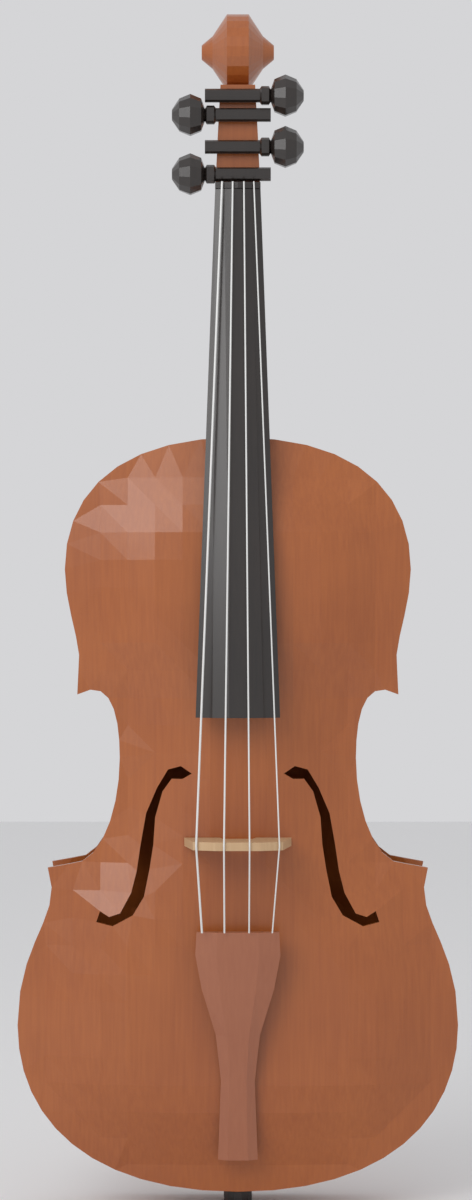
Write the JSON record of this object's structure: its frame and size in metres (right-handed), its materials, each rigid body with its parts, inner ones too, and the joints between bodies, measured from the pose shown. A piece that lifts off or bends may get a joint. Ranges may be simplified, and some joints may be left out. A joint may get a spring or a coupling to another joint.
{
  "type": "viola",
  "caption": "Viola with arched plates, ribs, fingerboard, bridge, tailpiece and turning pegs.",
  "frame": {"origin": "centre of the end button's flat end face", "axes": "+Z to the scroll, -Y the front, +X the treble side"},
  "size_m": [0.2406, 0.1115, 0.657],
  "materials": {
    "varnished_wood": "gloss",
    "plain_wood": "matte",
    "bridge_wood": "satin",
    "tailpiece_wood": "satin",
    "ebony": "satin",
    "string": "satin"
  },
  "bodies": {
    "body": {"back_plate": "varnished_wood", "bridge": "bridge_wood", "end_block": "plain_wood", "end_button": "ebony", "fingerboard": "ebony", "lining_lower_bass_back": "plain_wood", "lining_lower_bass_top": "plain_wood", "lining_lower_treble_back": "plain_wood", "lining_lower_treble_top": "plain_wood", "lining_upper_bass_back": "plain_wood", "lining_upper_bass_top": "plain_wood", "lining_upper_treble_back": "plain_wood", "lining_upper_treble_top": "plain_wood", "lining_waist_bass_back": "plain_wood", "lining_waist_bass_top": "plain_wood", "lining_waist_treble_back": "plain_wood", "lining_waist_treble_top": "plain_wood", "neck": "varnished_wood", "neck_block": "plain_wood", "nut": "ebony", "rib_lower": "varnished_wood", "rib_upper_bass": "varnished_wood", "rib_upper_treble": "varnished_wood", "rib_waist_bass": "varnished_wood", "rib_waist_treble": "varnished_wood", "scroll": "varnished_wood", "sound_post": "plain_wood", "string_a": "string", "string_c": "string", "string_d": "string", "string_g": "string", "tailpiece": "tailpiece_wood", "top_plate": "varnished_wood"},
    "peg_c": {"peg_c": "ebony"},
    "peg_g": {"peg_g": "ebony"},
    "peg_d": {"peg_d": "ebony"},
    "peg_a": {"peg_a": "ebony"}
  },
  "joints": [
    {"name": "peg_c_turn", "type": "hinge", "parent": "body", "child": "peg_c", "pos_m": [0, -0.02112, 0.565], "axis": [1, 0, 0], "continuous": true},
    {"name": "peg_g_turn", "type": "hinge", "parent": "body", "child": "peg_g", "pos_m": [0, -0.02112, 0.5974], "axis": [1, 0, 0], "continuous": true},
    {"name": "peg_d_turn", "type": "hinge", "parent": "body", "child": "peg_d", "pos_m": [0, -0.02112, 0.608], "axis": [1, 0, 0], "continuous": true},
    {"name": "peg_a_turn", "type": "hinge", "parent": "body", "child": "peg_a", "pos_m": [0, -0.02112, 0.5799], "axis": [1, 0, 0], "continuous": true}
  ]
}
